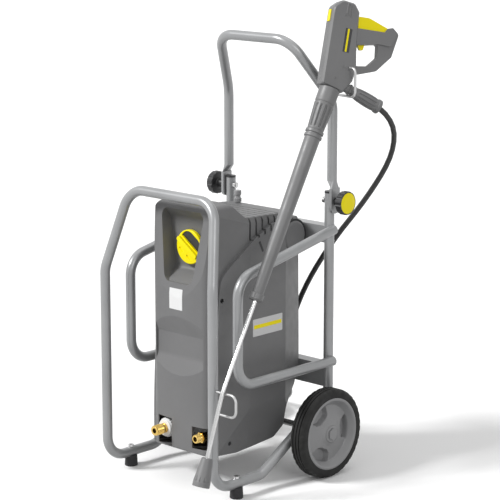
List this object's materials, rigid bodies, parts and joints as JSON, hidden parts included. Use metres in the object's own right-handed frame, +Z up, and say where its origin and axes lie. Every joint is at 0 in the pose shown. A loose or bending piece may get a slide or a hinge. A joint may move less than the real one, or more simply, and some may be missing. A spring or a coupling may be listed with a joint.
{
  "type": "pressure washer",
  "caption": "Upright cold-water pressure washer on a two-wheeled tube trolley with folding push handle, trigger gun, lance and coiled hose.",
  "frame": {"origin": "on the ground under the middle of the machine's box, the free hose left out", "axes": "+Z up, +Y from the front hoop towards the push handle, +X to the operator's right seen from behind, the side of the lance"},
  "size_m": [0.7989, 0.8975, 1.273],
  "materials": {
    "tube_paint": "satin powder coat",
    "shell_plastic": "fine grained moulding",
    "light_plastic": "smooth moulding",
    "yellow_plastic": "smooth",
    "black_plastic": "smooth",
    "white_plastic": "smooth",
    "rubber": "matt",
    "tyre_rubber": "matt",
    "rim_plastic": "satin",
    "steel": "bright",
    "brass": "bright",
    "cast_metal": "cast",
    "hose_rubber": "smooth"
  },
  "bodies": {
    "trolley": {"front_hoop": "tube_paint", "runner_left": "tube_paint", "runner_right": "tube_paint", "side_tube_left": "tube_paint", "side_tube_right": "tube_paint", "rear_post_left": "tube_paint", "rear_post_right": "tube_paint", "cross_member_high": "tube_paint", "cross_member_low": "tube_paint", "axle_brackets": "tube_paint", "post_caps": "black_plastic", "seal_rings": "black_plastic", "hose_coupling": "black_plastic", "switch_box": "black_plastic", "feet": "rubber", "foot_screws": "steel", "lance_holder": "steel", "gun_hook": "steel", "axle": "steel", "axle_spacers": "steel", "clamp_bolts": "steel", "lance_pipe": "steel", "hood_screws": "steel", "pistons": "steel", "gun_button": "yellow_plastic", "front_hood": "shell_plastic", "rear_housing": "shell_plastic", "rear_drum": "light_plastic", "vent_plug": "light_plastic", "gun_body_left": "light_plastic", "gun_body_right": "light_plastic", "hose_grip": "light_plastic", "lance_grip": "light_plastic", "nozzle_guard": "light_plastic", "inlet_fitting": "brass", "outlet_fitting": "brass", "pump_block": "cast_metal", "motor_stator": "cast_metal", "hose": "hose_rubber", "hose_coil": "hose_rubber"},
    "wheel_left": {"tyre_left": "tyre_rubber", "rim_left": "rim_plastic", "hub_cap_left": "rim_plastic"},
    "wheel_right": {"tyre_right": "tyre_rubber", "rim_right": "rim_plastic", "hub_cap_right": "rim_plastic"},
    "handle": {"push_handle": "tube_paint"},
    "clamp_left": {"knob_left": "black_plastic", "knob_cap_left": "yellow_plastic"},
    "clamp_right": {"knob_right": "black_plastic", "knob_cap_right": "yellow_plastic"},
    "switch": {"switch_knob": "yellow_plastic", "switch_insert": "black_plastic"},
    "trigger_lever": {"trigger": "yellow_plastic"},
    "safety_lever": {"safety_latch": "yellow_plastic"},
    "lance_nut": {"union_nut": "light_plastic"},
    "water_nut": {"inlet_nut": "white_plastic"},
    "drive_shaft": {"motor_rotor": "steel", "fan": "black_plastic", "swash_plate": "steel"}
  },
  "joints": [
    {"name": "wheel_left_roll", "type": "hinge", "parent": "trolley", "child": "wheel_left", "pos_m": [-0.2736, 0.1354, 0.122], "axis": [1, 0, 0], "continuous": true},
    {"name": "wheel_right_roll", "type": "hinge", "parent": "trolley", "child": "wheel_right", "pos_m": [0.2284, 0.1354, 0.122], "axis": [1, 0, 0], "continuous": true},
    {"name": "handle_fold", "type": "hinge", "parent": "trolley", "child": "handle", "pos_m": [-0.0226, 0.2204, 0.736], "axis": [1, 0, 0], "range_deg": [0, 66]},
    {"name": "clamp_left_turn", "type": "hinge", "parent": "trolley", "child": "clamp_left", "pos_m": [-0.22905, 0.2204, 0.736], "axis": [-1, 0, 0], "continuous": true},
    {"name": "clamp_right_turn", "type": "hinge", "parent": "trolley", "child": "clamp_right", "pos_m": [0.18385, 0.2204, 0.736], "axis": [1, 0, 0], "continuous": true},
    {"name": "switch_turn", "type": "hinge", "parent": "trolley", "child": "switch", "pos_m": [-0.0166, -0.1216, 0.637], "axis": [0, 1, 0], "range_deg": [0, 90]},
    {"name": "trigger_press", "type": "hinge", "parent": "trolley", "child": "trigger_lever", "pos_m": [0.26342, 0.32868, 1.18489], "axis": [0.9063, -0.3706, 0.2032], "range_deg": [0, 8], "stiffness_Nm_per_rad": 2, "springref_deg": -5.73},
    {"name": "safety_turn", "type": "hinge", "parent": "trolley", "child": "safety_lever", "pos_m": [0.23436, 0.24544, 1.16269], "axis": [0.9063, -0.3706, 0.2032], "range_deg": [0, 25]},
    {"name": "lance_nut_turn", "type": "hinge", "parent": "trolley", "child": "lance_nut", "pos_m": [0.2204, 0.1484, 1.048], "axis": [0, -0.4808, -0.8768], "continuous": true},
    {"name": "water_nut_turn", "type": "hinge", "parent": "trolley", "child": "water_nut", "pos_m": [-0.0746, -0.1526, 0.14], "axis": [0, -1, 0], "continuous": true},
    {"name": "drive_shaft_spin", "type": "hinge", "parent": "trolley", "child": "drive_shaft", "pos_m": [-0.0226, 0.0004, 0.33], "axis": [0, 0, 1], "continuous": true}
  ]
}
